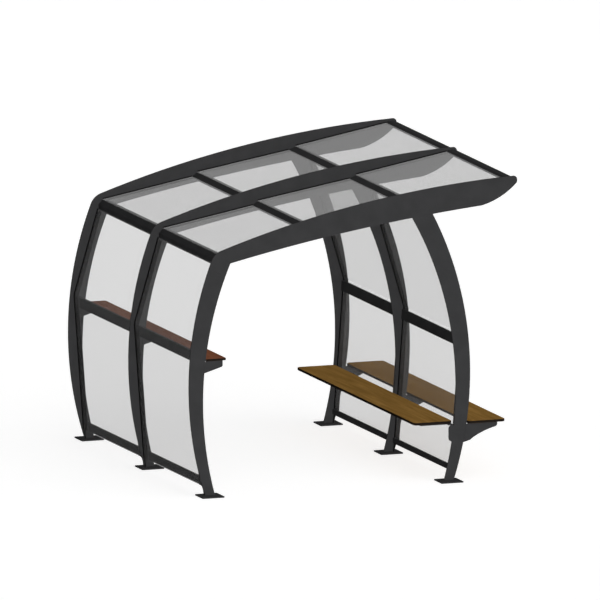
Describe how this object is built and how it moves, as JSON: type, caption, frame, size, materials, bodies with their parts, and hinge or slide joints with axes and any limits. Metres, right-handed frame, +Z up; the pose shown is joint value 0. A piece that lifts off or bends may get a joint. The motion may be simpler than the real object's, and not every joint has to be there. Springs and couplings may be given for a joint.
{
  "type": "smoking shelter",
  "caption": "Open-ended glazed shelter on arched steel plate frames, with a rising roof, a leaning shelf on one wall and a bench on each face of the other.",
  "frame": {"origin": "on the ground, under the middle of the whole outline", "axes": "+Z up, +X from the low eave wall towards the raised open edge of the roof, +Y along the shelter from the front frame to the rear frame"},
  "size_m": [2.831, 3.046, 2.4807],
  "materials": {
    "dark_steel": "satin",
    "wall_glass": "clear",
    "roof_sheet": "hazy",
    "seat_board": "satin",
    "shelf_board": "satin"
  },
  "bodies": {
    "root": {"bench_brackets": "dark_steel", "bench_straps": "dark_steel", "eave_rail": "dark_steel", "inner_bench_seat": "seat_board", "leaning_shelf": "shelf_board", "left_base_plate_front": "dark_steel", "left_base_plate_middle": "dark_steel", "left_base_plate_rear": "dark_steel", "left_bottom_rail": "dark_steel", "left_glazing_strip_front": "dark_steel", "left_glazing_strip_middle": "dark_steel", "left_glazing_strip_rear": "dark_steel", "left_leg_front": "dark_steel", "left_leg_middle": "dark_steel", "left_leg_rear": "dark_steel", "left_lower_glass": "wall_glass", "left_mid_rail": "dark_steel", "left_upper_glass": "wall_glass", "lower_purlin": "dark_steel", "lower_roof_sheet": "roof_sheet", "middle_roof_sheet": "roof_sheet", "outer_bench_seat": "seat_board", "right_base_plate_front": "dark_steel", "right_base_plate_middle": "dark_steel", "right_base_plate_rear": "dark_steel", "right_bottom_rail": "dark_steel", "right_glazing_strip_front": "dark_steel", "right_glazing_strip_middle": "dark_steel", "right_glazing_strip_rear": "dark_steel", "right_leg_front": "dark_steel", "right_leg_middle": "dark_steel", "right_leg_rear": "dark_steel", "right_lower_glass": "wall_glass", "right_mid_rail": "dark_steel", "right_upper_glass": "wall_glass", "roof_beam_front": "dark_steel", "roof_beam_middle": "dark_steel", "roof_beam_rear": "dark_steel", "roof_glazing_strips": "dark_steel", "shelf_brackets": "dark_steel", "tip_rail": "dark_steel", "upper_purlin": "dark_steel", "upper_roof_sheet": "roof_sheet"}
  },
  "joints": []
}
